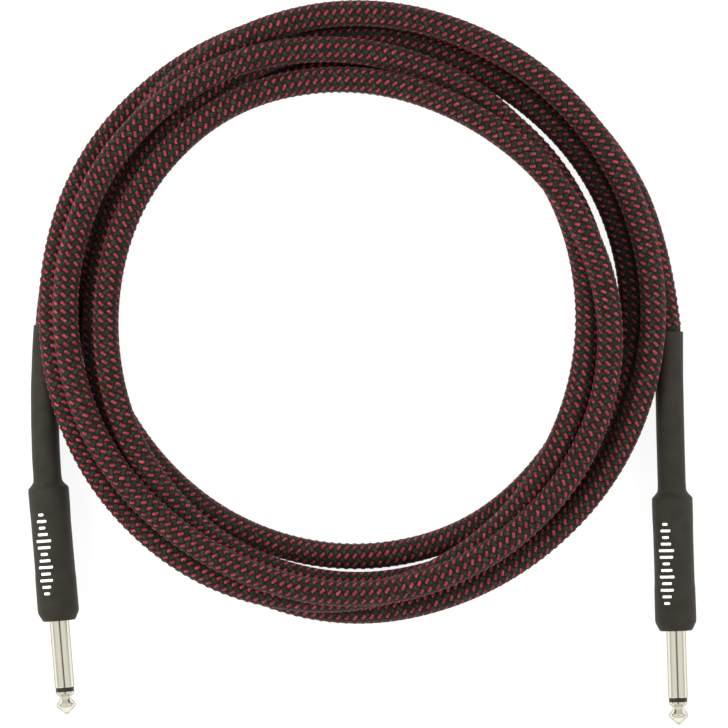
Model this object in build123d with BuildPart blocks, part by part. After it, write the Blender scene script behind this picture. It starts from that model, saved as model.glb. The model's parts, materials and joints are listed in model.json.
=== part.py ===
from build123d import *
from math import cos, radians, sin
import os

# An instrument cable: one long coiled lead with a fabric cover and a 6.35 mm two-pole plug at
# each end. Millimetres, +Z up. The coil and both plugs lie on the plane Z = 0, and the origin
# is under the middle of the whole thing. The plugs point towards -Y.

# --- the cable, from the inside outwards (radii) ------------------------------------------
CONDUCTOR_R = 0.45
INSULATION_R = 1.25
CONDUCTIVE_R = 1.55
SHIELD_R = 1.95
JACKET_R = 3.45
COVER_R = 4.15

# --- the coil ------------------------------------------------------------------------------
COIL_CENTRE = (-3.5, 14.9)
STATIONS = 12  # places round a turn where its lane is set, every 30 degrees from +X
# Each turn runs anticlockwise from +X: its distance from the coil's centre, then the height
# of its own middle, at each station. The first turn starts in the right plug, whose neck takes
# up its first station, and the last one stops at the left plug, half a turn round.
LANES = (
    (103.2, 99.3, 98.6, 97.3, 98.3, 99.4, 97.8, 97.8, 96.3, 92.1, 84.9, 78.5),
    (76.6, 78.4, 82.6, 86.7, 91.8, 94.0, 93.2, 91.7, 89.3, 90.3, 88.8, 87.3),
    (83.9, 79.0, 75.6, 77.1, 79.8, 80.2, 79.6, 82.3, 85.8, 87.6, 88.1, 89.2),
    (91.9, 91.9, 90.5, 91.4, 86.8, 83.7, 83.1, 87.6, 93.6, 96.5, 96.2, 97.3),
    (98.3, 98.9, 99.2, 99.4, 96.8, 91.2, 87.0, 80.8, 78.4, 78.1, 79.4, 79.4),
    (81.4, 81.6, 81.5, 81.8, 80.9, 91.6),
)
HEIGHTS = (
    (4.6, 4.2, 4.2, 4.2, 4.2, 10.8, 14.8, 9.8, 12.0, 12.6, 12.2, 12.5),
    (11.5, 12.3, 12.4, 13.2, 18.8, 20.6, 20.0, 17.8, 17.4, 20.4, 19.4, 15.0),
    (16.8, 20.5, 19.0, 13.4, 16.4, 19.4, 20.0, 16.5, 9.2, 4.6, 4.2, 4.2),
    (4.2, 4.2, 4.2, 6.0, 12.0, 11.8, 12.8, 9.8, 4.2, 4.2, 4.2, 7.0),
    (12.8, 12.4, 12.5, 12.5, 12.3, 12.0, 4.2, 4.2, 4.2, 4.2, 4.2, 4.2),
    (4.2, 4.2, 4.2, 4.2, 4.2, 4.2),
)
COIL_EDGE_R = 3.0
NECK_CLEARANCE = 0.3

# --- where the plugs lie ---------------------------------------------------------------------
PLUG_AXIS_Z = 6.75  # the handle rests on the surface
NECK_END_Z = 4.85  # the neck sags until it nearly lies on the surface
BEYOND_Z = 4.5
# Each plug's place: the point of its tip, how many degrees it leans, the free end of its neck,
# how far the neck bows, and where the cable has run straight on out of it.
PLUGS = {
    "left": {
        "tip": (-96.7, -115.0),
        "lean": 4.7,
        "end": (-103.0, 11.6),
        "bulge": 0.95,
        "beyond": (-101.3, 36.0),
    },
    "right": {
        "tip": (103.35, -118.4),
        "lean": 1.7,
        "end": (100.1, 9.8),
        "bulge": 0.14,
        "beyond": (97.6, 32.8),
    },
}

# --- the plug, along its axis from the point of the tip (u) ----------------------------------
RING_U = 7.5
SHANK_U = 8.9
FACE_U = 30.8
COLLAR_U = 31.0
BARREL_U = 34.0
BOSS_END_U = 40.0
LUG_U = 40.4
REAR_WASHER_U = 40.45
TIP_LUG_U = 42.0
RIVET_U = 42.4
RIVET_END_U = 43.2
BARREL_LIP_U = 71.0
BARREL_END_U = 74.0
NECK_U = 76.9

SHANK_R = 3.175
SHANK_BORE_R = 2.15
LINER_R = 2.1
ROD_R = 1.2
ROD_GAP = 0.05
RING_R = 3.0  # a little below the shank, so that it never binds in a socket
BALL_R = 3.12
TIP_NECK_R = 1.85
TIP_FLANGE_R = 3.0
COLLAR_FACE_R = 4.9
COLLAR_R = 6.0
BOSS_R = 5.0
BARREL_BORE_R = 5.2
BARREL_LIP_R = 4.3
BARREL_BEVEL = 0.6
BARREL_LINER_R = 4.75
SLEEVE_GAP = 0.05
NECK_R = 4.6
NECK_BORE_R = 4.2
SHEET = 0.4  # thickness of the stamped lugs
EDGE = 0.15  # a broken edge
BEVEL = 0.4  # a turned chamfer

# --- the stepped cable end inside a plug: where each layer is cut back to --------------------
CONDUCTOR_U = 45.5
INSULATION_U = 50.0
CONDUCTIVE_U = 53.0
SHIELD_U = 56.0
JACKET_U = 59.0
COVER_U = 66.0
CLAMP_U = 60.0
CLAMP_LENGTH = 4.0


def axis_plane(plug):
    """A plane that holds a plug's axis: its X runs from the tip to the cable, its Y is up."""
    lean = radians(plug["lean"])
    return Plane(
        origin=(*plug["tip"], PLUG_AXIS_Z),
        x_dir=(-sin(lean), cos(lean), 0),
        z_dir=(cos(lean), sin(lean), 0),
    )


def across(plane, u):
    """The plane square to a plug's axis at u, with its X up."""
    return Plane(
        origin=plane.from_local_coords((u, 0, 0)), x_dir=plane.y_dir, z_dir=plane.x_dir
    )


def neck_path(plug, plane, start_u):
    """The cable's line from start_u inside the handle to the free end of the neck."""
    begin = plane.from_local_coords(Vector(start_u, 0, 0))
    shoulder = plane.from_local_coords(Vector(NECK_U, 0, 0))
    end = Vector(*plug["end"], NECK_END_Z)
    middle = (shoulder + end) / 2 - plane.z_dir * plug["bulge"]
    with BuildLine() as path:
        if start_u < NECK_U:
            Line(begin, shoulder)
        first = TangentArc(shoulder, middle, tangent=plane.x_dir)
        TangentArc(middle, end, tangent=first % 1)
    return path.wire()


def turned(outline, plane):
    """A solid of revolution about a plug's axis, from (u, radius) points."""
    with BuildPart() as piece:
        with BuildSketch(plane):
            with BuildLine():
                Polyline(*outline, close=True)
            make_face()
        revolve(axis=Axis(plane.origin, plane.x_dir))
    return piece


def layer(plug, plane, start_u, outer, inner=0.0):
    """One layer of the cable, from where it is cut back to the free end of the neck."""
    with BuildPart() as piece:
        with BuildSketch(across(plane, start_u)):
            Circle(outer)
            if inner:
                Circle(inner, mode=Mode.SUBTRACT)
        sweep(path=neck_path(plug, plane, start_u))
    return piece


def save(piece, name):
    piece.part.label = name
    export_step(piece.part, f"parts/{name}.step")


def tip_contact(plane):
    """The pointed tip, its groove and the rod behind it, headed over at the rear."""
    flange_u, head_r = 6.95, 1.9
    with BuildPart() as piece:
        with BuildSketch(plane):
            with BuildLine():
                nose = ThreePointArc((0, 0), (0.28, 0.72), (0.9, 1.15))
                cone = Line(nose @ 1, (2.35, 2.72))
                ball = ThreePointArc(cone @ 1, (3.15, BALL_R), (4.0, 2.75))
                fall = Line(ball @ 1, (4.95, 2.05))
                groove = ThreePointArc(fall @ 1, (5.5, TIP_NECK_R), (6.05, 2.0))
                Polyline(
                    groove @ 1,
                    (flange_u - EDGE, TIP_FLANGE_R - EDGE),
                    (flange_u, TIP_FLANGE_R),
                    (RING_U, TIP_FLANGE_R),
                    (RING_U, ROD_R),
                    (RIVET_U, ROD_R),
                    (RIVET_U, head_r),
                    (RIVET_END_U - BEVEL, head_r),
                    (RIVET_END_U, head_r - BEVEL),
                    (RIVET_END_U, 0),
                    (0, 0),
                )
            make_face()
        revolve(axis=Axis(plane.origin, plane.x_dir))
    return piece


def tip_insulator(plane):
    """The dark ring between tip and shank, in one piece with the tube round the rod."""
    bore = ROD_R + ROD_GAP
    return turned(
        [
            (RING_U, bore),
            (RING_U, RING_R),
            (SHANK_U, RING_R),
            (SHANK_U, LINER_R),
            (LUG_U, LINER_R),
            (LUG_U, bore),
        ],
        plane,
    )


def sleeve_contact(plane):
    """The shank with its bevelled collar and the boss that the barrel screws on."""
    return turned(
        [
            (SHANK_U, SHANK_BORE_R),
            (SHANK_U, SHANK_R - EDGE),
            (SHANK_U + EDGE, SHANK_R),
            (COLLAR_U, SHANK_R),
            (COLLAR_U, COLLAR_FACE_R),
            (BARREL_U - BEVEL, COLLAR_R),
            (BARREL_U, COLLAR_R),
            (BARREL_U, BOSS_R),
            (BOSS_END_U - BEVEL, BOSS_R),
            (BOSS_END_U, BOSS_R - BEVEL),
            (BOSS_END_U, SHANK_BORE_R),
        ],
        plane,
    )


def barrel(plane):
    """The metal tube round the solder joints, open at the boss and lipped at the cable."""
    return turned(
        [
            (BARREL_U, BOSS_R + SLEEVE_GAP),
            (BARREL_U, COLLAR_R),
            (BARREL_END_U - BARREL_BEVEL, COLLAR_R),
            (BARREL_END_U, COLLAR_R - BARREL_BEVEL),
            (BARREL_END_U, BARREL_LIP_R),
            (BARREL_LIP_U, BARREL_LIP_R),
            (BARREL_LIP_U, BARREL_BORE_R),
            (BOSS_END_U, BARREL_BORE_R),
            (BOSS_END_U, BOSS_R + SLEEVE_GAP),
        ],
        plane,
    )


def barrel_liner(plane):
    """The insulating tube inside the barrel."""
    end_play = 0.5
    start_u, end_u = BOSS_END_U + end_play, BARREL_LIP_U - end_play
    outer_r = BARREL_BORE_R - SLEEVE_GAP
    return turned(
        [
            (start_u, BARREL_LINER_R),
            (start_u, outer_r),
            (end_u, outer_r),
            (end_u, BARREL_LINER_R),
        ],
        plane,
    )


def rear_insulator(plane):
    """The washer between the two lugs."""
    bore = ROD_R + ROD_GAP
    washer_r = 3.7
    return turned(
        [
            (REAR_WASHER_U, bore),
            (REAR_WASHER_U, washer_r),
            (TIP_LUG_U, washer_r),
            (TIP_LUG_U, bore),
        ],
        plane,
    )


def tip_lug(plane):
    """A washer on the rod with a tongue that the conductor is soldered to."""
    tongue_length, tongue_width, tongue_low, tongue_high = 7.0, 2.4, -2.35, -1.95
    ring_r, tongue_hole_r, hole_back = 2.6, 0.55, 2.0
    middle = (tongue_low + tongue_high) / 2
    with BuildPart() as piece:
        with BuildSketch(across(plane, TIP_LUG_U)):
            Circle(ring_r)
            Circle(ROD_R + ROD_GAP, mode=Mode.SUBTRACT)
        extrude(amount=SHEET)
        with BuildSketch(across(plane, TIP_LUG_U)):
            with Locations((middle, 0)):
                Rectangle(tongue_high - tongue_low, tongue_width)
        extrude(amount=tongue_length)
        hole_at = plane.from_local_coords((TIP_LUG_U + tongue_length - hole_back, 0, 0))
        with BuildSketch(Plane(origin=hole_at, x_dir=plane.x_dir, z_dir=(0, 0, -1))):
            Circle(tongue_hole_r)
        extrude(amount=ring_r * 2, mode=Mode.SUBTRACT)
    return piece


def ground_lug(plane):
    """A washer on the boss, an arm along the barrel and a clamp round the jacket."""
    ring_r, ring_bore_r = 4.6, 2.3
    arm_low, arm_high, arm_width = -4.4, -3.9, 2.8
    clamp_bore_r, clamp_r, clamp_mouth = JACKET_R + SLEEVE_GAP, 4.0, 3.0
    arm_length = CLAMP_U + CLAMP_LENGTH - BOSS_END_U
    with BuildPart() as piece:
        with BuildSketch(across(plane, BOSS_END_U)):
            Circle(ring_r)
            Circle(ring_bore_r, mode=Mode.SUBTRACT)
        extrude(amount=LUG_U - BOSS_END_U)
        with BuildSketch(across(plane, BOSS_END_U)):
            with Locations(((arm_low + arm_high) / 2, 0)):
                Rectangle(arm_high - arm_low, arm_width)
        extrude(amount=arm_length)
        with BuildSketch(across(plane, CLAMP_U)):
            Circle(clamp_r)
            Circle(clamp_bore_r, mode=Mode.SUBTRACT)
            with Locations((clamp_r, 0)):
                Rectangle(clamp_r, clamp_mouth, mode=Mode.SUBTRACT)
        extrude(amount=CLAMP_LENGTH)
    return piece


def tip_solder(plane):
    """The solder that joins the conductor to the tip lug's tongue."""
    start_u, end_u, widest = 45.9, 48.6, 1.9
    return turned(
        [
            (start_u, CONDUCTOR_R),
            (start_u + 0.2, 1.2),
            ((start_u + end_u) / 2 - 0.4, widest),
            ((start_u + end_u) / 2 + 0.4, widest),
            (end_u - 0.2, 1.1),
            (end_u, CONDUCTOR_R),
        ],
        plane,
    )


def outer_sleeve(plug, plane):
    """The shrunk-on cover: over collar and barrel, round the shoulder and along the neck."""
    inner_r = COLLAR_R + SLEEVE_GAP
    front_r, middle_r, rear_r, lip_r = 6.75, 6.54, 6.65, 5.3
    front_end_u, rear_start_u = 45.0, 64.0
    with BuildPart() as piece:
        with BuildSketch(plane):
            with BuildLine():
                lip = Polyline(
                    (FACE_U, COLLAR_FACE_R + SLEEVE_GAP),
                    (FACE_U, lip_r - 0.2),
                    (FACE_U + 0.3, lip_r + 0.15),
                    (BARREL_U - 0.5, front_r - 0.12),
                )
                edge = ThreePointArc(
                    lip @ 1, (BARREL_U - 0.1, front_r - 0.03), (BARREL_U + 0.4, front_r)
                )
                body = Polyline(
                    edge @ 1,
                    (front_end_u, front_r - 0.05),
                    (front_end_u + 1.5, middle_r),
                    (rear_start_u, middle_r),
                    (rear_start_u + 3, rear_r),
                    (BARREL_END_U - 0.2, rear_r),
                )
                back = ThreePointArc(
                    body @ 1, (BARREL_END_U + 0.45, rear_r - 0.2), (BARREL_END_U + 0.8, 6.05)
                )
                hollow = ThreePointArc(back @ 1, (75.6, 5.1), (NECK_U, NECK_R))
                Polyline(
                    hollow @ 1,
                    (NECK_U, NECK_BORE_R),
                    (BARREL_END_U + 0.5, NECK_BORE_R),
                    (BARREL_END_U + 0.1, COLLAR_R - 0.6),
                    (BARREL_END_U - 0.5, inner_r),
                    (BARREL_U - 0.35, inner_r),
                    (FACE_U, COLLAR_FACE_R + SLEEVE_GAP),
                )
            make_face()
        revolve(axis=Axis(plane.origin, plane.x_dir))
        with BuildSketch(across(plane, NECK_U)):
            Circle(NECK_R)
            Circle(NECK_BORE_R, mode=Mode.SUBTRACT)
        sweep(path=neck_path(plug, plane, NECK_U))
    return piece


def coil_outline(choose, offset):
    """The coil's edge seen from above, from its outermost or innermost turn at each station."""
    points = []
    for station in range(STATIONS):
        lane = choose(turn[station] for turn in LANES if station < len(turn))
        angle = radians(360 / STATIONS * station)
        reach = lane + offset
        points.append(
            (COIL_CENTRE[0] + reach * cos(angle), COIL_CENTRE[1] + reach * sin(angle))
        )
    return points


def cable_coil():
    """The closed outer shape of the whole coil, with a channel where each neck lies under it."""
    top = max(max(turn) for turn in HEIGHTS) + COVER_R
    with BuildPart() as piece:
        with BuildSketch():
            with BuildLine():
                Spline(*coil_outline(max, COVER_R), periodic=True)
            make_face()
            with BuildLine():
                Spline(*coil_outline(min, -COVER_R), periodic=True)
            make_face(mode=Mode.SUBTRACT)
        extrude(amount=top)
        fillet(piece.faces().sort_by(Axis.Z)[-1].edges(), COIL_EDGE_R)
        for plug in PLUGS.values():
            plane = axis_plane(plug)
            with BuildSketch(across(plane, NECK_U)):
                Circle(NECK_R + NECK_CLEARANCE)
            sweep(path=neck_path(plug, plane, NECK_U), mode=Mode.SUBTRACT)
    return piece


def cord_route():
    """The cable's own line from the right neck to the left one: the control points of a curve.

    A curve drawn near these points runs inside them, so each lane is let out by the same share.
    """
    let_out = 8 / (6 + 2 * cos(radians(360 / STATIONS)))
    turns = []
    for lane, height in zip(LANES, HEIGHTS):
        for station, (reach, z) in enumerate(zip(lane, height)):
            angle = radians(360 / STATIONS * station)
            turns.append(
                Vector(
                    COIL_CENTRE[0] + reach * let_out * cos(angle),
                    COIL_CENTRE[1] + reach * let_out * sin(angle),
                    z,
                )
            )
    return [
        Vector(*PLUGS["right"]["end"], NECK_END_Z),
        Vector(*PLUGS["right"]["beyond"], BEYOND_Z),
        *turns[1:],
        Vector(*PLUGS["left"]["beyond"], BEYOND_Z),
        Vector(*PLUGS["left"]["end"], NECK_END_Z),
    ]


os.makedirs("parts", exist_ok=True)

for side, plug in PLUGS.items():
    plane = axis_plane(plug)
    save(tip_contact(plane), f"{side}_tip_contact")
    save(tip_insulator(plane), f"{side}_tip_insulator")
    save(sleeve_contact(plane), f"{side}_sleeve_contact")
    save(rear_insulator(plane), f"{side}_rear_insulator")
    save(tip_lug(plane), f"{side}_tip_lug")
    save(ground_lug(plane), f"{side}_ground_lug")
    save(tip_solder(plane), f"{side}_tip_solder")
    save(barrel(plane), f"{side}_barrel")
    save(barrel_liner(plane), f"{side}_barrel_liner")
    save(outer_sleeve(plug, plane), f"{side}_outer_sleeve")
    save(layer(plug, plane, CONDUCTOR_U, CONDUCTOR_R), f"{side}_core_conductor")
    save(layer(plug, plane, INSULATION_U, INSULATION_R, CONDUCTOR_R), f"{side}_core_insulation")
    save(layer(plug, plane, CONDUCTIVE_U, CONDUCTIVE_R, INSULATION_R), f"{side}_conductive_layer")
    save(layer(plug, plane, SHIELD_U, SHIELD_R, CONDUCTIVE_R), f"{side}_shield")
    save(layer(plug, plane, JACKET_U, JACKET_R, SHIELD_R), f"{side}_jacket")
    save(layer(plug, plane, COVER_U, COVER_R, JACKET_R), f"{side}_woven_cover")

save(cable_coil(), "cable_coil")

route = cord_route()
steps = [(b - a).length for a, b in zip(route, route[1:])]
print(f"the coiled line has {len(route)} points and its straight steps add up to {sum(steps):.0f} mm")
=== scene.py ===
import json
from math import cos, pi, radians, sin

import bpy
import numpy as np
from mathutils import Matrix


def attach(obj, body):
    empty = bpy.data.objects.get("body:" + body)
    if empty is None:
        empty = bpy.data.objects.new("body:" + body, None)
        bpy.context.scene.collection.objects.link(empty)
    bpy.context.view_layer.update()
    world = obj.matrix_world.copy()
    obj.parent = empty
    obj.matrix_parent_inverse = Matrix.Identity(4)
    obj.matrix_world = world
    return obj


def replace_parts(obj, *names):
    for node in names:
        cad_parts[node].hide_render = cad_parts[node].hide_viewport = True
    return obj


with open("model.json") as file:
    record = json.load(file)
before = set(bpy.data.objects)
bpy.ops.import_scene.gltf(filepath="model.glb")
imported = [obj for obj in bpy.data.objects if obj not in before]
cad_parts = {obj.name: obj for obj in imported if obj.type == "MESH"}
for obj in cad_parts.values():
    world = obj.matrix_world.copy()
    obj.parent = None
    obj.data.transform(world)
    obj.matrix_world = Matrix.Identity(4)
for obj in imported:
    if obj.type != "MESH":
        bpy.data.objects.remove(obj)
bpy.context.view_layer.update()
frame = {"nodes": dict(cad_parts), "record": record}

# An instrument cable seen from above: a loosely coiled, fabric-covered lead with a straight
# two-pole plug at each end. The plugs' metal is the frame's own; the shrunk-on sleeves and the
# cable with its woven cover are built here.

MM = 0.001
nodes = frame["nodes"]
SIDES = ("left", "right")

# ---------------------------------------------------------------------------------------------
# Sizes and places, in millimetres
# ---------------------------------------------------------------------------------------------

# The coil: distance of each turn from the coil's centre, and the height of its middle, every
# 30 degrees anticlockwise from +X. The first turn starts in the right plug, whose neck takes up
# its first station, and the last one stops at the left plug.
COIL_CENTRE = (-3.5, 14.9)
STATIONS = 12
LANES = (
    (103.2, 99.3, 98.6, 97.3, 98.3, 99.4, 97.8, 97.8, 96.3, 92.1, 84.9, 78.5),
    (76.6, 78.4, 82.6, 86.7, 91.8, 94.0, 93.2, 91.7, 89.3, 90.3, 88.8, 87.3),
    (83.9, 79.0, 75.6, 77.1, 79.8, 80.2, 79.6, 82.3, 85.8, 87.6, 88.1, 89.2),
    (91.9, 91.9, 90.5, 91.4, 86.8, 83.7, 83.1, 87.6, 93.6, 96.5, 96.2, 97.3),
    (98.3, 98.9, 99.2, 99.4, 96.8, 91.2, 87.0, 80.8, 78.4, 78.1, 79.4, 79.4),
    (81.4, 81.6, 81.5, 81.8, 80.9, 91.6),
)
HEIGHTS = (
    (4.6, 4.2, 4.2, 4.2, 4.2, 10.8, 14.8, 9.8, 12.0, 12.6, 12.2, 12.5),
    (11.5, 12.3, 12.4, 13.2, 18.8, 20.6, 20.0, 17.8, 17.4, 20.4, 19.4, 15.0),
    (16.8, 20.5, 19.0, 13.4, 16.4, 19.4, 20.0, 16.5, 9.2, 4.6, 4.2, 4.2),
    (4.2, 4.2, 4.2, 6.0, 12.0, 11.8, 12.8, 9.8, 4.2, 4.2, 4.2, 7.0),
    (12.8, 12.4, 12.5, 12.5, 12.3, 12.0, 4.2, 4.2, 4.2, 4.2, 4.2, 4.2),
    (4.2, 4.2, 4.2, 4.2, 4.2, 4.2),
)
NECK_END_Z = 4.85
BEYOND_Z = 4.5
NECKS = {
    "left": {"end": (-103.0, 11.6), "bulge": 0.95, "beyond": (-101.3, 36.0)},
    "right": {"end": (100.1, 9.8), "bulge": 0.14, "beyond": (97.6, 32.8)},
}

# The woven cover is a braid of eight crimson yarns one way and eight dark yarns the other.
YARNS = 8
PITCH = 2.65  # along the cable, from one crimson fleck to the next in its row
VALLEY_R = 4.0  # where two yarns cross and both dip
DARK_RISE = 0.25
DARK_GROOVE = 0.07
BED_DROP = 0.06
FLECK_RISE = 0.38
FLECK_GROOVE = 0.3  # of the rise, between the two ends of a crimson yarn
FLECK_HALF_WIDTH = 0.36  # in yarn spacings
FLECK_HALF_LENGTH = 0.54
FLECK_TAPER = 0.3  # how much narrower its two ends are than its middle
FLECK_ROUND = (0.93, 0.9)  # how far it falls to its rim, across and along: 1 is all the way
FLECK_SINK = 0.1  # its rim lies this far under the valleys
FLECK_CLEAR = 0.4  # no fleck's middle is within this many pitches of an end of the cable
FLECK_PARTS = 6
TWIST_TURNS = 2.2
TWIST_SWAY = 0.5  # radians that the braid's twist wanders by
TWIST_SWAYS = 9  # half waves of that over the whole cable

# A plug, along its axis from the point of the tip (u)
MOUNT_U = 20.0  # where the frame's mount stands on the shank
FACE_U = 30.8
NECK_U = 76.9


# ---------------------------------------------------------------------------------------------
# Camera: straight above, as far off as a long lens would be
# ---------------------------------------------------------------------------------------------

VIEW_CENTRE = (0.41, -0.43)
VIEW_WIDTH = 238.0
CAMERA_RISE = 2200.0
SENSOR = 36.0
AXIS_Z = 6.75  # the plugs' axes, where the view is VIEW_WIDTH across
NEAREST, FURTHEST = 0.1, 30.0  # what the camera draws, in metres


def camera():
    lens = bpy.data.cameras.new("camera")
    lens.sensor_width = SENSOR
    lens.lens = SENSOR * CAMERA_RISE / VIEW_WIDTH
    lens.clip_start, lens.clip_end = NEAREST, FURTHEST
    eye = bpy.data.objects.new("camera", lens)
    eye.location = (VIEW_CENTRE[0] * MM, VIEW_CENTRE[1] * MM, (AXIS_Z + CAMERA_RISE) * MM)
    bpy.context.scene.collection.objects.link(eye)
    bpy.context.scene.camera = eye


camera()


# ---------------------------------------------------------------------------------------------
# Mesh helpers
# ---------------------------------------------------------------------------------------------


def add_mesh(name, points, faces, materials, uv=None, slots=None):
    """A new smooth piece from arrays: points (n, 3) in metres and four-cornered faces (m, 4)."""
    mesh = bpy.data.meshes.new(name)
    mesh.vertices.add(len(points))
    mesh.vertices.foreach_set("co", np.ascontiguousarray(points, np.float32).ravel())
    mesh.loops.add(len(faces) * 4)
    mesh.loops.foreach_set("vertex_index", np.ascontiguousarray(faces, np.int32).ravel())
    mesh.polygons.add(len(faces))
    mesh.polygons.foreach_set("loop_start", np.arange(0, len(faces) * 4, 4, dtype=np.int32))
    mesh.polygons.foreach_set("use_smooth", np.ones(len(faces), bool))
    for material in materials:
        mesh.materials.append(material)
    if slots is not None:
        mesh.polygons.foreach_set("material_index", np.ascontiguousarray(slots, np.int32))
    if uv is not None:
        layer = mesh.uv_layers.new(name="weave")
        layer.data.foreach_set("uv", np.ascontiguousarray(uv, np.float32).ravel())
    mesh.update(calc_edges=True)
    mesh.validate()
    piece = bpy.data.objects.new(name, mesh)
    bpy.context.scene.collection.objects.link(piece)
    return piece


def unit(vectors):
    return vectors / np.linalg.norm(vectors, axis=-1, keepdims=True)


def smooth_line(points, steps):
    """Points along the smooth curve that has these control points, as Blender draws it."""
    curve = bpy.data.curves.new("route", "CURVE")
    curve.dimensions = "3D"
    curve.resolution_u = steps
    spline = curve.splines.new("NURBS")
    spline.points.add(len(points) - 1)
    for control, place in zip(spline.points, points):
        control.co = (*place, 1)
    spline.order_u = 3
    spline.use_endpoint_u = True
    holder = bpy.data.objects.new("route", curve)
    drawn = bpy.data.meshes.new_from_object(holder)
    line = np.array([v.co[:] for v in drawn.vertices])
    bpy.data.objects.remove(holder)
    bpy.data.curves.remove(curve)
    bpy.data.meshes.remove(drawn)
    return line


class Line:
    """A line in space that things are laid along, with two directions square to it."""

    def __init__(self, points, up=(0, 0, 1)):
        self.points = points
        steps = np.linalg.norm(np.diff(points, axis=0), axis=1)
        self.at = np.concatenate([[0], np.cumsum(steps)])
        self.length = self.at[-1]
        along = unit(np.gradient(points, self.at, axis=0))
        side = np.empty_like(points)
        side[0] = np.cross(along[0], up)
        for i in range(1, len(points)):
            carried = side[i - 1]
            side[i] = carried - along[i] * np.dot(carried, along[i])
            side[i] /= np.linalg.norm(side[i])
        side[0] /= np.linalg.norm(side[0])
        self.side = side
        self.over = np.cross(side, along)

    def read(self, rows, s):
        return np.stack([np.interp(s, self.at, rows[:, k]) for k in range(3)], axis=-1)

    def place(self, s, angle, radius):
        """The point at distance s along the line, radius away from it at that angle."""
        side, over = unit(self.read(self.side, s)), unit(self.read(self.over, s))
        lift = side * np.cos(angle)[..., None] + over * np.sin(angle)[..., None]
        return self.read(self.points, s) + lift * np.asarray(radius)[..., None]


# ---------------------------------------------------------------------------------------------
# Materials
# ---------------------------------------------------------------------------------------------


class Shader:
    """A new material with a Principled shader and a few lines' worth of node building."""

    def __init__(self, name, **sockets):
        self.material = bpy.data.materials.new(name)
        self.material.use_nodes = True
        self.tree = self.material.node_tree
        self.shader = self.tree.nodes["Principled BSDF"]
        for socket, value in sockets.items():
            self.shader.inputs[socket.replace("_", " ")].default_value = value

    def node(self, kind, inputs=(), **settings):
        made = self.tree.nodes.new(kind)
        for key, value in settings.items():
            setattr(made, key, value)
        for key, value in dict(inputs).items():
            if isinstance(value, bpy.types.NodeSocket):
                self.tree.links.new(value, made.inputs[key])
            else:
                made.inputs[key].default_value = value
        return made

    def weave(self):
        return self.node("ShaderNodeUVMap", uv_map="weave").outputs["UV"]

    def place(self):
        return self.node("ShaderNodeTexCoord").outputs["Object"]

    def stretched(self, where, scale):
        return self.node(
            "ShaderNodeMapping", {"Vector": where, "Scale": scale}
        ).outputs["Vector"]

    def noise(self, where, scale=1.0, detail=2.0, roughness=0.5):
        return self.node(
            "ShaderNodeTexNoise",
            {"Vector": where, "Scale": scale, "Detail": detail, "Roughness": roughness},
        ).outputs["Fac"]

    def ramp(self, value, *stops):
        made = self.node("ShaderNodeValToRGB", {"Fac": value})
        elements = made.color_ramp.elements
        while len(elements) < len(stops):
            elements.new(0.5)
        for element, (at, colour) in zip(elements, stops):
            element.position = at
            element.color = (*colour, 1)
        return made.outputs["Color"]

    def between(self, value, low, high, start=0.25, end=0.75):
        return self.node(
            "ShaderNodeMapRange",
            {"Value": value, "From Min": start, "From Max": end, "To Min": low, "To Max": high},
        ).outputs["Result"]

    def math(self, operation, a, b):
        return self.node("ShaderNodeMath", {0: a, 1: b}, operation=operation).outputs[0]

    def off_middle(self, weave, axis):
        """How far a point of the weave is from the middle of its yarn: 0 there, 0.5 at the edge."""
        parts = self.node("ShaderNodeSeparateXYZ", {"Vector": weave})
        return self.math("PINGPONG", parts.outputs[axis], 0.5)

    def bump(self, height, distance):
        made = self.node("ShaderNodeBump", {"Height": height, "Distance": distance, "Strength": 1.0})
        self.link(made.outputs["Normal"], "Normal")

    def link(self, output, socket):
        self.tree.links.new(output, self.shader.inputs[socket])


PAINTED_SHADE_WIDTH = 0.22  # the width of the painted shade along a yarn's edge, where it dips into the valleys, in yarn spacings
# how dark the painted shade at a yarn's edge gets
PAINTED_SHADE_DEPTH = 0.28


def yarn(name, along, shades, sheen, edge):
    """Spun yarn whose fibres run along u or v of the weave, with painted shade that darkens it towards
    its two edges, where it dips into the valleys.
    """
    made = Shader(
        name,
        Specular_IOR_Level=0.3,
        Sheen_Weight=sheen,
        Sheen_Roughness=0.45,
        Sheen_Tint=(0.85, 0.72, 0.72, 1),
    )
    weave = made.weave()
    fine, slow = 13.0, 1.3
    scale = (slow, fine, 1) if along == "u" else (fine, slow, 1)
    fibres = made.noise(made.stretched(weave, scale), detail=3.0, roughness=0.6)
    blotch = made.noise(made.stretched(weave, (0.9, 0.9, 1)), detail=1.0)
    mix = made.math("ADD", made.math("MULTIPLY", fibres, 0.7), made.math("MULTIPLY", blotch, 0.3))
    # Painted shade: the colour darkens towards the yarn's edges, where the weave's valleys lie in
    # shade.
    across = made.off_middle(weave, "Y" if along == "u" else "X")
    painted_shade = made.between(across, 0.0, PAINTED_SHADE_DEPTH, start=edge - PAINTED_SHADE_WIDTH, end=edge)
    dark, middle, pale = shades
    made.link(
        made.ramp(made.math("SUBTRACT", mix, painted_shade), (0.32, dark), (0.5, middle), (0.66, pale)),
        "Base Color",
    )
    made.link(made.between(fibres, 0.72, 0.9), "Roughness")
    made.bump(fibres, 0.12 * MM)
    return made.material


DARK_SHADES = ((0.0022, 0.0023, 0.0014), (0.0100, 0.0101, 0.0062), (0.052, 0.052, 0.036))
CRIMSON_SHADES = ((0.030, 0.003, 0.004), (0.19, 0.018, 0.025), (0.46, 0.08, 0.09))


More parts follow.
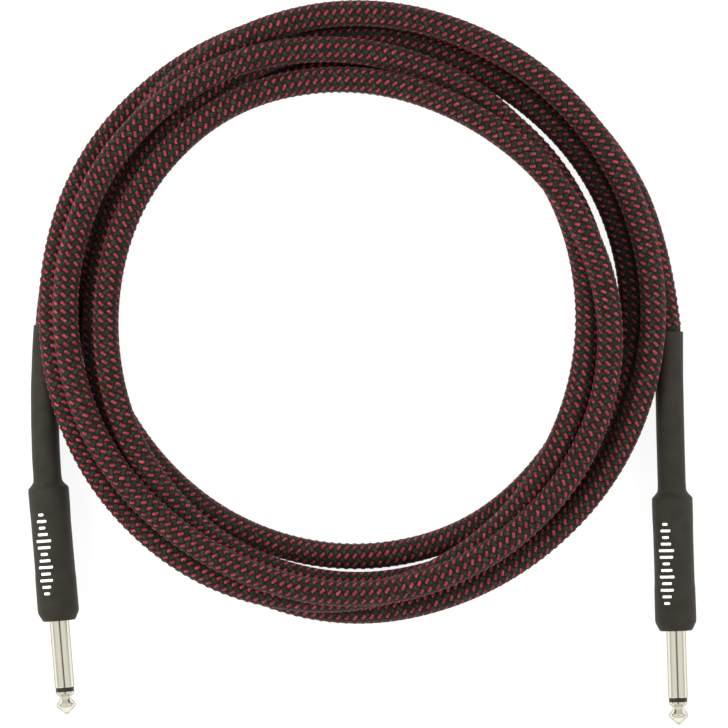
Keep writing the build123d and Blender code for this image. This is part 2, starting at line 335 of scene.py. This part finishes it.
def sleeve_rubber():
    """Matt heat-shrunk tube: warm dark grey, faintly mottled, with a fine grain."""
    made = Shader("shrink_sleeve", Specular_IOR_Level=0.24)
    where = made.place()
    mottle = made.noise(where, scale=220.0, detail=3.0)
    grain = made.noise(where, scale=3200.0, detail=2.0)
    made.link(
        made.ramp(mottle, (0.3, (0.0165, 0.0140, 0.0100)), (0.7, (0.0225, 0.0192, 0.0145))),
        "Base Color",
    )
    made.link(made.between(grain, 0.5, 0.66), "Roughness")
    both = made.math("ADD", grain, made.math("MULTIPLY", mottle, 2.0))
    made.bump(both, 0.012 * MM)
    return made.material


def print_paint():
    made = Shader("white_print", Specular_IOR_Level=0.3)
    where = made.place()
    wear = made.noise(where, scale=1500.0, detail=3.0)
    made.link(
        made.ramp(wear, (0.25, (0.55, 0.54, 0.5)), (0.45, (0.8, 0.79, 0.76))), "Base Color"
    )
    made.link(made.between(wear, 0.45, 0.6), "Roughness")
    made.bump(wear, 0.004 * MM)
    return made.material


def nickel():
    """Bright nickel plate with a warm tint, faint polishing marks and handling haze."""
    made = Shader("nickel_plate", Metallic=1.0, Specular_Tint=(0.35, 0.33, 0.28, 1))
    where = made.place()
    marks = made.noise(made.stretched(where, (900, 14000, 900)), detail=2.0)
    haze = made.noise(where, scale=160.0, detail=3.0)
    made.link(
        made.ramp(haze, (0.3, (0.85, 0.81, 0.67)), (0.7, (0.89, 0.85, 0.71))), "Base Color"
    )
    made.link(made.between(haze, 0.1, 0.17), "Roughness")
    made.bump(marks, 0.0012 * MM)
    return made.material


def plain_metal(name, low, high, rough):
    made = Shader(name, Metallic=1.0)
    grain = made.noise(made.place(), scale=900.0, detail=3.0)
    made.link(made.ramp(grain, (0.3, low), (0.7, high)), "Base Color")
    made.link(made.between(grain, rough, rough + 0.14), "Roughness")
    made.bump(grain, 0.01 * MM)
    return made.material


def plain_plastic(name, low, high, rough):
    made = Shader(name, Specular_IOR_Level=0.4)
    grain = made.noise(made.place(), scale=700.0, detail=3.0)
    made.link(made.ramp(grain, (0.3, low), (0.7, high)), "Base Color")
    made.link(made.between(grain, rough, rough + 0.12), "Roughness")
    made.bump(grain, 0.01 * MM)
    return made.material


# ---------------------------------------------------------------------------------------------
# The cable
# ---------------------------------------------------------------------------------------------


def cable_route():
    """The control points of the cable's line, from the right neck to the left one, in metres. The
    curve cuts inside its control points, so they are let out to bring it back to its lane."""
    let_out = 8 / (6 + 2 * cos(radians(360 / STATIONS)))
    turns = []
    for lane, height in zip(LANES, HEIGHTS):
        for station, (reach, z) in enumerate(zip(lane, height)):
            angle = radians(360 / STATIONS * station)
            turns.append(
                (
                    COIL_CENTRE[0] + reach * let_out * cos(angle),
                    COIL_CENTRE[1] + reach * let_out * sin(angle),
                    z,
                )
            )
    route = [
        (*NECKS["right"]["end"], NECK_END_Z),
        (*NECKS["right"]["beyond"], BEYOND_Z),
        *turns[1:],
        (*NECKS["left"]["beyond"], BEYOND_Z),
        (*NECKS["left"]["end"], NECK_END_Z),
    ]
    return np.array(route) * MM


CURVE_STEPS = 32
cable = Line(smooth_line(cable_route(), CURVE_STEPS))
rows = cable.length / (PITCH * MM)


def on_braid(u, v, radius):
    """The point of the braid at yarn coordinates u and v. Crimson yarns lie along whole u, dark
    ones along whole v, and where they cross the crimson one is on top if u + v is even. What
    lies on the floor is flattened by it."""
    around, along = (u + v) / 2, np.clip((v - u) / 2, 0, rows)
    sway = TWIST_SWAY * np.sin(TWIST_SWAYS * pi * along / rows)
    drift = TWIST_TURNS * 2 * pi * along / rows + sway
    points = cable.place(along * PITCH * MM, around * 2 * pi / YARNS + drift, radius * MM)
    points[..., 2] = np.maximum(points[..., 2], 0)
    return points


def cover_radius(u, v):
    """How far the dark weave stands off the cable's middle: two-lobed pads where a dark yarn is
    on top, and a flatter bed where a crimson one is."""
    i, j = np.round(u), np.round(v)
    du, dv = u - i, v - j
    arch = np.cos(pi * du) * np.cos(pi * dv)
    on_top = (i + j) % 2 == 1
    pad = DARK_RISE * np.sqrt(np.clip(arch, 0, 1)) - DARK_GROOVE * np.cos(2 * pi * dv) * arch
    bed = -BED_DROP * arch
    return VALLEY_R + np.where(on_top, pad, bed)


def woven_cover():
    """The dark weave, as one tube whose faces follow the yarns, with the weave's own u and v."""
    u_cuts = np.array([-0.5, -0.19, 0.19])
    v_cuts = np.array([-0.5, -0.25, 0.0, 0.25])
    per_u, per_v = len(u_cuts), len(v_cuts)
    u_line = (np.arange(YARNS)[:, None] + u_cuts).ravel()
    v_count = int(np.ceil(2 * rows)) + YARNS + 2
    v_line = (np.arange(-1, v_count)[:, None] + v_cuts).ravel()
    nu, nv = len(u_line), len(v_line)
    u_edges, v_edges = np.append(u_line, YARNS - 0.5), v_line
    u, v = np.meshgrid(u_line, v_line, indexing="ij")
    points = on_braid(u, v, cover_radius(u, v)).reshape(-1, 3)

    iu, iv = np.meshgrid(np.arange(nu), np.arange(nv - 1), indexing="ij")
    wraps = iu + 1 == nu
    next_u, shift = np.where(wraps, 0, iu + 1), np.where(wraps, YARNS * per_v, 0)
    this_row, next_row = iu * nv + iv, next_u * nv + iv - shift
    faces = np.stack([this_row, next_row, next_row + 1, this_row + 1], axis=-1)
    corner_u = np.stack([u_edges[iu], u_edges[iu + 1], u_edges[iu + 1], u_edges[iu]], axis=-1)
    corner_v = np.stack([v_edges[iv], v_edges[iv], v_edges[iv + 1], v_edges[iv + 1]], axis=-1)
    along = (corner_v - corner_u) / 2
    keep = (along.max(-1) > 0) & (along.min(-1) < rows) & (iv - shift >= 0)
    faces, uv = faces[keep], np.stack([corner_u, corner_v], axis=-1)[keep]
    middle_u, middle_v = uv[..., 0].mean(-1), uv[..., 1].mean(-1)
    crosswise = (np.round(middle_u) + np.round(middle_v)) % 2 == 0
    used, faces = np.unique(faces, return_inverse=True)
    return add_mesh(
        "woven_cover",
        points[used],
        faces.reshape(-1, 4),
        [
            yarn("dark_yarn", "u", DARK_SHADES, 0.08, 0.5),
            yarn("dark_bed", "v", DARK_SHADES, 0.08, 0.5),
        ],
        uv=uv,
        slots=crosswise,
    )


def crimson_flecks(part):
    """The stretches of crimson yarn that come to the surface on one part of the cable."""
    first, last = (rows * (part + k) / FLECK_PARTS for k in (0, 1))
    b, a = np.meshgrid(np.arange(np.ceil(first), np.ceil(last)), np.arange(YARNS), indexing="ij")
    a, b = a.ravel(), b.ravel()
    inside = (b > FLECK_CLEAR) & (b < rows - FLECK_CLEAR)
    centre_u, centre_v = (a - b)[inside], (a + b)[inside]
    x, y = np.meshgrid(np.array([-1, -0.5, 0, 0.5, 1.0]), np.array([-1, -0.6, 0, 0.6, 1.0]))
    width = FLECK_HALF_WIDTH * (1 - FLECK_TAPER * y**2)
    u = centre_u[:, None, None] + x * width
    v = centre_v[:, None, None] + y * FLECK_HALF_LENGTH
    dome = np.sqrt(1 - FLECK_ROUND[0] * x**2) * np.sqrt(1 - FLECK_ROUND[1] * y**2)
    groove = 1 - FLECK_GROOVE * (x == 0) * (1 - y**2)
    rim_r = VALLEY_R - FLECK_SINK
    radius = rim_r + (FLECK_RISE + FLECK_SINK) * (dome * groove)
    radius = np.where((abs(x) == 1) | (abs(y) == 1), rim_r, radius)
    points = on_braid(u, v, np.broadcast_to(radius, u.shape)).reshape(-1, 3)
    side = len(x)
    corner = np.arange(side * side).reshape(side, side)
    one = np.stack(
        [corner[:-1, :-1], corner[:-1, 1:], corner[1:, 1:], corner[1:, :-1]], axis=-1
    ).reshape(-1, 4)
    faces = (np.arange(len(centre_u))[:, None, None] * side * side + one).reshape(-1, 4)
    return add_mesh(
        f"crimson_yarn_{part + 1}",
        points,
        faces,
        [crimson],
        uv=np.stack([u.reshape(-1)[faces], v.reshape(-1)[faces]], axis=-1),
    )


# The flecks' rims get the yarn's painted shade, where they sink into the valleys.
crimson = yarn("crimson_yarn", "v", CRIMSON_SHADES, 0.1, FLECK_HALF_WIDTH)
cover = woven_cover()
flecks = [crimson_flecks(part) for part in range(FLECK_PARTS)]
for piece in (cover, *flecks):
    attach(piece, "root")
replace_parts(cover, "cable_coil")


# ---------------------------------------------------------------------------------------------
# The shrunk-on sleeves
# ---------------------------------------------------------------------------------------------

# Outer radius along the sleeve, from its front edge to the shoulder: a bevelled front, a step
# where the collar ends inside, a waist, a swell over the barrel's rear and the shoulder.
SLEEVE_OUTLINE = (
    (30.8, 5.05),
    (30.95, 5.3),
    (31.4, 5.6),
    (33.2, 6.5),
    (33.8, 6.7),
    (34.6, 6.76),
    (40.0, 6.74),
    (44.6, 6.7),
    (45.6, 6.62),
    (47.0, 6.55),
    (55.0, 6.54),
    (63.0, 6.55),
    (65.2, 6.6),
    (67.0, 6.66),
    (73.6, 6.67),
    (74.2, 6.6),
    (74.5, 6.42),
    (75.3, 5.65),
    (76.1, 5.0),
    (76.5, 4.8),
    (77.2, 4.68),
    (79.0, 4.6),
)
NECK_R = 4.6
NECK_FLARE = 14.0  # the part of the neck that widens towards its free end
NECK_LIP_R = 4.72
NECK_LIP = 1.5
FRONT_BORE = ((1.2, 4.6), (0.25, 4.72), (0.0, 4.86))  # inside the front edge: depth and radius
NECK_BORE = ((0.0, 4.34), (0.2, 4.22), (3.0, 4.22))
LIP_OVERHANG = 0.4
SLEEVE_STEP = 0.5
SLEEVE_SIDES = 96
WAVES = ((2, 31), (3, 19), (4, 12), (5, 23))  # what shrinking leaves: rounds of it and its length
WAVE_DEPTH = 0.018
WAVES_FROM_U = 34  # the bevelled front has none
UNEVEN_CUT = 0.12
CUT_REACH = 4  # the cut's slant dies out over this much of the neck
HANDLE_STEPS = 40
NECK_STEPS = 60

# The white mark on each handle: a row of level bars laid across it, of these lengths.
BARS = (2.2, 3.4, 5.0, 3.8, 5.8, 4.4, 2.8, 5.2, 6.0, 4.0, 2.6, 3.8, 2.0)
BARS_U = 40.0
BAR_SPACING = 2.15
BAR_HALF_WIDTH = 0.52
BARS_ANGLE = radians(116)
BAR_WRAP = 0.7  # the neck's radius as a share of the handle's, where the bars bend round it
BAR_END_ROUND = 0.96
BAR_GRID = (15, 7)
PRINT_RISE = 0.03


def plug_axis(side):
    """The point of a plug's tip and the direction from it to the cable, from the frame's mount."""
    mount = next(m for m in frame["record"]["mounts"] if m["name"] == f"{side}_plug")
    to_tip = np.array(mount["axis"])
    return np.array(mount["pos_m"]) + to_tip * MOUNT_U * MM, -to_tip


def sleeve_line(side):
    """The middle of a sleeve: along the handle, then through the bowed neck to its free end."""
    tip, along = plug_axis(side)
    neck = NECKS[side]
    shoulder = tip + along * NECK_U * MM
    end = np.array([*neck["end"], NECK_END_Z]) * MM
    outward = np.array([along[1], -along[0], 0])
    bend = (shoulder + end) / 2 - outward * 2 * neck["bulge"] * MM
    t = np.linspace(0, 1, NECK_STEPS)[1:, None]
    bowed = (1 - t) ** 2 * shoulder + 2 * t * (1 - t) * bend + t**2 * end
    last = unit(bowed[-1] - bowed[-2])
    handle = tip + along * np.linspace(FACE_U, NECK_U, HANDLE_STEPS)[:, None] * MM
    return Line(np.concatenate([handle, bowed, [bowed[-1] + last * LIP_OVERHANG * MM]]))


class Sleeve:
    """The shrunk-on sleeve of one plug: its line and the shape of its surface."""

    def __init__(self, side, seed):
        self.side = side
        self.line = sleeve_line(side)
        self.end = FACE_U + self.line.length / MM
        random = np.random.default_rng(seed)
        self.waves = [(*wave, *random.uniform(0, 2 * pi, 2)) for wave in WAVES]
        self.cut_turn = random.uniform(0, 2 * pi)
        self.outline = (
            *SLEEVE_OUTLINE,
            (self.end - NECK_FLARE, NECK_R),
            (self.end - NECK_LIP, NECK_LIP_R),
            (self.end - UNEVEN_CUT, NECK_LIP_R),
            (self.end, NECK_LIP_R - UNEVEN_CUT),
        )

    def radius(self, u, angle):
        swell = np.zeros_like(u)
        for rounds, length, start, spin in self.waves:
            swell += np.sin(rounds * angle + spin) * np.sin(2 * pi * u / length + start)
        known_u, known_r = zip(*self.outline)
        return np.interp(u, known_u, known_r) + WAVE_DEPTH * swell * np.clip(u - WAVES_FROM_U, 0, 1)

    def place(self, u, angle, radius):
        near_cut = np.clip((u - self.end + CUT_REACH) / CUT_REACH, 0, 1)
        skew = UNEVEN_CUT * np.sin(angle + self.cut_turn) * near_cut
        s = np.clip((u - FACE_U + skew) * MM, 0, self.line.length)
        return self.line.place(s, angle, radius * MM)

    def keep(self, piece, slot):
        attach(piece, "root")
        return piece

    def tube(self):
        """The sleeve itself: up its outside, with the two edges turned in."""
        turn = np.linspace(0, 2 * pi, SLEEVE_SIDES, endpoint=False)
        stations = np.union1d([u for u, _ in self.outline], np.arange(FACE_U, self.end, SLEEVE_STEP))
        u, angle = np.meshgrid(stations, turn, indexing="ij")
        front_u, front_r = (np.array(row)[:, None] + 0 * turn for row in zip(*FRONT_BORE))
        back_u, back_r = (np.array(row)[:, None] + 0 * turn for row in zip(*NECK_BORE))
        all_u = np.concatenate([FACE_U + front_u, u, self.end - back_u])
        all_r = np.concatenate([front_r, self.radius(u, angle), back_r])
        points = self.place(all_u, np.broadcast_to(turn, all_u.shape), all_r)
        i, j = np.meshgrid(np.arange(len(all_u) - 1), np.arange(SLEEVE_SIDES), indexing="ij")
        k = (j + 1) % SLEEVE_SIDES
        low, high = i * SLEEVE_SIDES, (i + 1) * SLEEVE_SIDES
        faces = np.stack([low + j, high + j, high + k, low + k], axis=-1).reshape(-1, 4)
        piece = add_mesh(f"{self.side}_sleeve", points.reshape(-1, 3), faces, [rubber])
        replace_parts(self.keep(piece, "shrink_sleeve"), f"{self.side}_outer_sleeve")

    def mark(self):
        """A wordless row of level bars with round ends, printed on the handle's left side."""
        x, y = np.meshgrid(*(np.linspace(-1, 1, count) for count in BAR_GRID), indexing="ij")
        grid = np.arange(x.size).reshape(x.shape)
        one = np.stack([grid[:-1, :-1], grid[1:, :-1], grid[1:, 1:], grid[:-1, 1:]], axis=-1)
        points, faces = [], []
        for place, length in enumerate(BARS):
            straight = length / 2 - BAR_HALF_WIDTH
            ends = np.clip(abs(x) * length / 2 - straight, 0, None) / BAR_HALF_WIDTH
            offset = y * BAR_HALF_WIDTH * np.sqrt(1 - BAR_END_ROUND * ends**2)
            u = BARS_U + BAR_SPACING * place + offset
            angle = BARS_ANGLE + x * length / 2 / NECK_R * BAR_WRAP
            rim = (abs(x) == 1) | (abs(y) == 1)
            rise = np.where(rim, -PRINT_RISE, PRINT_RISE)
            points.append(self.place(u, angle, self.radius(u, angle) + rise).reshape(-1, 3))
            faces.append(one.reshape(-1, 4) + place * x.size)
        piece = add_mesh(f"{self.side}_mark", np.concatenate(points), np.concatenate(faces), [paint])
        self.keep(piece, "shrink_sleeve")


rubber = sleeve_rubber()
paint = print_paint()
for seed, side in enumerate(SIDES):
    sleeve = Sleeve(side, seed)
    sleeve.tube()
    sleeve.mark()


# ---------------------------------------------------------------------------------------------
# The frame's own pieces
# ---------------------------------------------------------------------------------------------

metal = nickel()
tinned = plain_metal("tinned_sheet", (0.55, 0.55, 0.53), (0.7, 0.69, 0.67), 0.28)
inner_look = {
    "tip_contact": metal,
    "sleeve_contact": metal,
    "barrel": metal,
    "tip_lug": tinned,
    "ground_lug": tinned,
    "tip_solder": plain_metal("solder", (0.45, 0.45, 0.46), (0.6, 0.6, 0.61), 0.32),
    "tip_insulator": plain_plastic("ring_plastic", (0.010, 0.008, 0.006), (0.024, 0.019, 0.014), 0.35),
    "barrel_liner": plain_plastic("liner_plastic", (0.05, 0.05, 0.05), (0.09, 0.09, 0.09), 0.4),
    "core_conductor": plain_metal("copper", (0.6, 0.3, 0.18), (0.78, 0.44, 0.3), 0.25),
    "core_insulation": plain_plastic("core_plastic", (0.68, 0.66, 0.6), (0.8, 0.79, 0.74), 0.35),
    "conductive_layer": plain_plastic("conductive_plastic", (0.01,) * 3, (0.03,) * 3, 0.5),
    "jacket": plain_plastic("jacket_rubber", (0.01,) * 3, (0.025,) * 3, 0.55),
    "woven_cover": plain_plastic("cover_end", (0.01, 0.012, 0.01), (0.03, 0.035, 0.03), 0.75),
}
inner_look["rear_insulator"] = inner_look["tip_insulator"]
inner_look["shield"] = inner_look["core_conductor"]
inner_look["outer_sleeve"] = rubber

for side in SIDES:
    for part, material in inner_look.items():
        nodes[f"{side}_{part}"].material_slots[0].material = material
nodes["cable_coil"].material_slots[0].material = inner_look["woven_cover"]


# ---------------------------------------------------------------------------------------------
# Floor and light
# ---------------------------------------------------------------------------------------------


def floor():
    """A white sweep that gives most of its own light, so that only a faint shadow shows on it."""
    half = 4.0
    corners = np.array([(-half, -half, 0), (half, -half, 0), (half, half, 0), (-half, half, 0)])
    made = Shader(
        "floor",
        Base_Color=(0.12, 0.12, 0.12, 1),
        Roughness=0.9,
        Specular_IOR_Level=0.0,
        Emission_Color=(1, 1, 1, 1),
        Emission_Strength=0.91,
    )
    piece = add_mesh("floor", corners, np.array([[0, 1, 2, 3]]), [made.material])


# The light from all round, by the sine of its height above the horizon: dark below, soft at the
# sides, even above them, and a dark patch right overhead where a camera would hang.
SKY = (
    (-1.0, 0.1),
    (-0.02, 0.15),
    (0.03, 0.6),
    (0.3, 0.8),
    (0.6, 1.0),
    (0.972, 1.0),
    (0.986, 0.1),
)
SKY_STRENGTH = 0.79

SIDE_LIGHTS = ((-0.45, 5.4), (0.45, 3.6))  # two soft lamps: metres to the side, and watts
LAMP_SIZE = (0.35, 1.0)  # in metres
LAMP_HEIGHT = 0.3  # in metres
LAMP_TILT = 55  # in degrees


def sky():
    world = bpy.data.worlds.new("studio")
    world.use_nodes = True
    bpy.context.scene.world = world
    tree = world.node_tree
    background = tree.nodes["Background"]
    where = tree.nodes.new("ShaderNodeTexCoord")
    split = tree.nodes.new("ShaderNodeSeparateXYZ")
    height = tree.nodes.new("ShaderNodeMapRange")
    height.inputs["From Min"].default_value = -1.0
    ramp = tree.nodes.new("ShaderNodeValToRGB")
    elements = ramp.color_ramp.elements
    while len(elements) < len(SKY):
        elements.new(0.5)
    for element, (sine, light) in zip(elements, SKY):
        element.position = (sine + 1) / 2
        element.color = (light, light, light, 1)
    tree.links.new(where.outputs["Generated"], split.inputs[0])
    tree.links.new(split.outputs["Z"], height.inputs["Value"])
    tree.links.new(height.outputs["Result"], ramp.inputs["Fac"])
    tree.links.new(ramp.outputs["Color"], background.inputs["Color"])
    background.inputs["Strength"].default_value = SKY_STRENGTH


def side_light(x, energy):
    lamp = bpy.data.lights.new("side_light", "AREA")
    lamp.shape = "RECTANGLE"
    lamp.size, lamp.size_y = LAMP_SIZE
    lamp.energy = energy
    holder = bpy.data.objects.new("side_light", lamp)
    holder.location = (x, 0, LAMP_HEIGHT)
    holder.rotation_euler = (0, radians(LAMP_TILT) * (1 if x > 0 else -1), 0)
    holder.visible_camera = False
    holder.visible_glossy = False
    bpy.context.scene.collection.objects.link(holder)


floor()
sky()
for x, energy in SIDE_LIGHTS:
    side_light(x, energy)
bpy.context.scene.view_settings.view_transform = "Standard"
